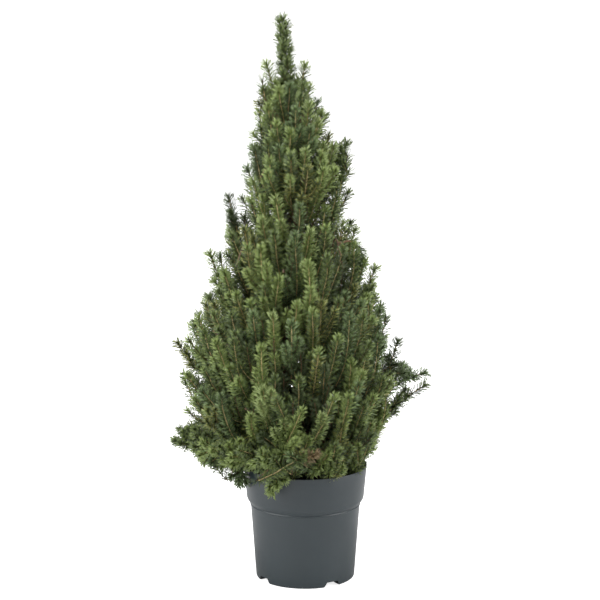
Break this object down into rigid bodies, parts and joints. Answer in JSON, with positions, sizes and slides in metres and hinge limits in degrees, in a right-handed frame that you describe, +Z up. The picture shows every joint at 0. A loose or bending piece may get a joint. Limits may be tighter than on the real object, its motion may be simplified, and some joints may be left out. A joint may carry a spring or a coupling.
{
  "type": "potted alberta spruce",
  "caption": "Dwarf conical spruce with a dense, uneven teardrop crown of short needles, rooted in compost in a round grey-blue nursery pot.",
  "frame": {"origin": "centre of the flat underside of the pot", "axes": "+Z up along the pot's axis, -Y towards the front, +X to the right as seen from the front"},
  "size_m": [0.3975, 0.3408, 0.867],
  "materials": {
    "pot_plastic": "satin",
    "compost": "matte",
    "bark": "matte",
    "needles": "matte"
  },
  "bodies": {
    "root": {"pot": "pot_plastic", "compost": "compost", "trunk": "bark", "bough_1": "bark", "bough_2": "bark", "bough_3": "bark", "bough_4": "bark", "bough_5": "bark", "bough_6": "bark", "finger_left_high": "needles", "finger_left_low": "needles", "finger_left_mid": "needles", "finger_left_tip": "needles", "finger_right_high": "needles", "finger_right_low": "needles", "finger_right_mid": "needles", "finger_right_tip": "needles", "finger_right_upper": "needles", "foliage_leader": "needles", "foliage_lower_1": "needles", "foliage_lower_2": "needles", "foliage_lower_3": "needles", "foliage_lower_4": "needles", "foliage_lower_5": "needles", "foliage_lower_6": "needles", "foliage_lower_7": "needles", "foliage_middle_1": "needles", "foliage_middle_2": "needles", "foliage_middle_3": "needles", "foliage_middle_4": "needles", "foliage_middle_5": "needles", "foliage_middle_6": "needles", "foliage_middle_7": "needles", "foliage_neck_1": "needles", "foliage_neck_2": "needles", "foliage_neck_3": "needles", "foliage_neck_4": "needles", "foliage_neck_5": "needles", "foliage_shoulder_1": "needles", "foliage_shoulder_2": "needles", "foliage_shoulder_3": "needles", "foliage_shoulder_4": "needles", "foliage_skirt_1": "needles", "foliage_skirt_2": "needles", "foliage_skirt_3": "needles", "foliage_skirt_4": "needles", "foliage_skirt_5": "needles", "foliage_skirt_6": "needles", "foliage_upper_1": "needles", "foliage_upper_2": "needles", "foliage_upper_3": "needles", "foliage_upper_4": "needles", "foliage_upper_5": "needles", "foliage_upper_6": "needles", "fork_right_lower": "needles", "fork_right_upper": "needles", "overhang_front": "needles", "overhang_left": "needles", "spray_left": "needles"}
  },
  "joints": []
}
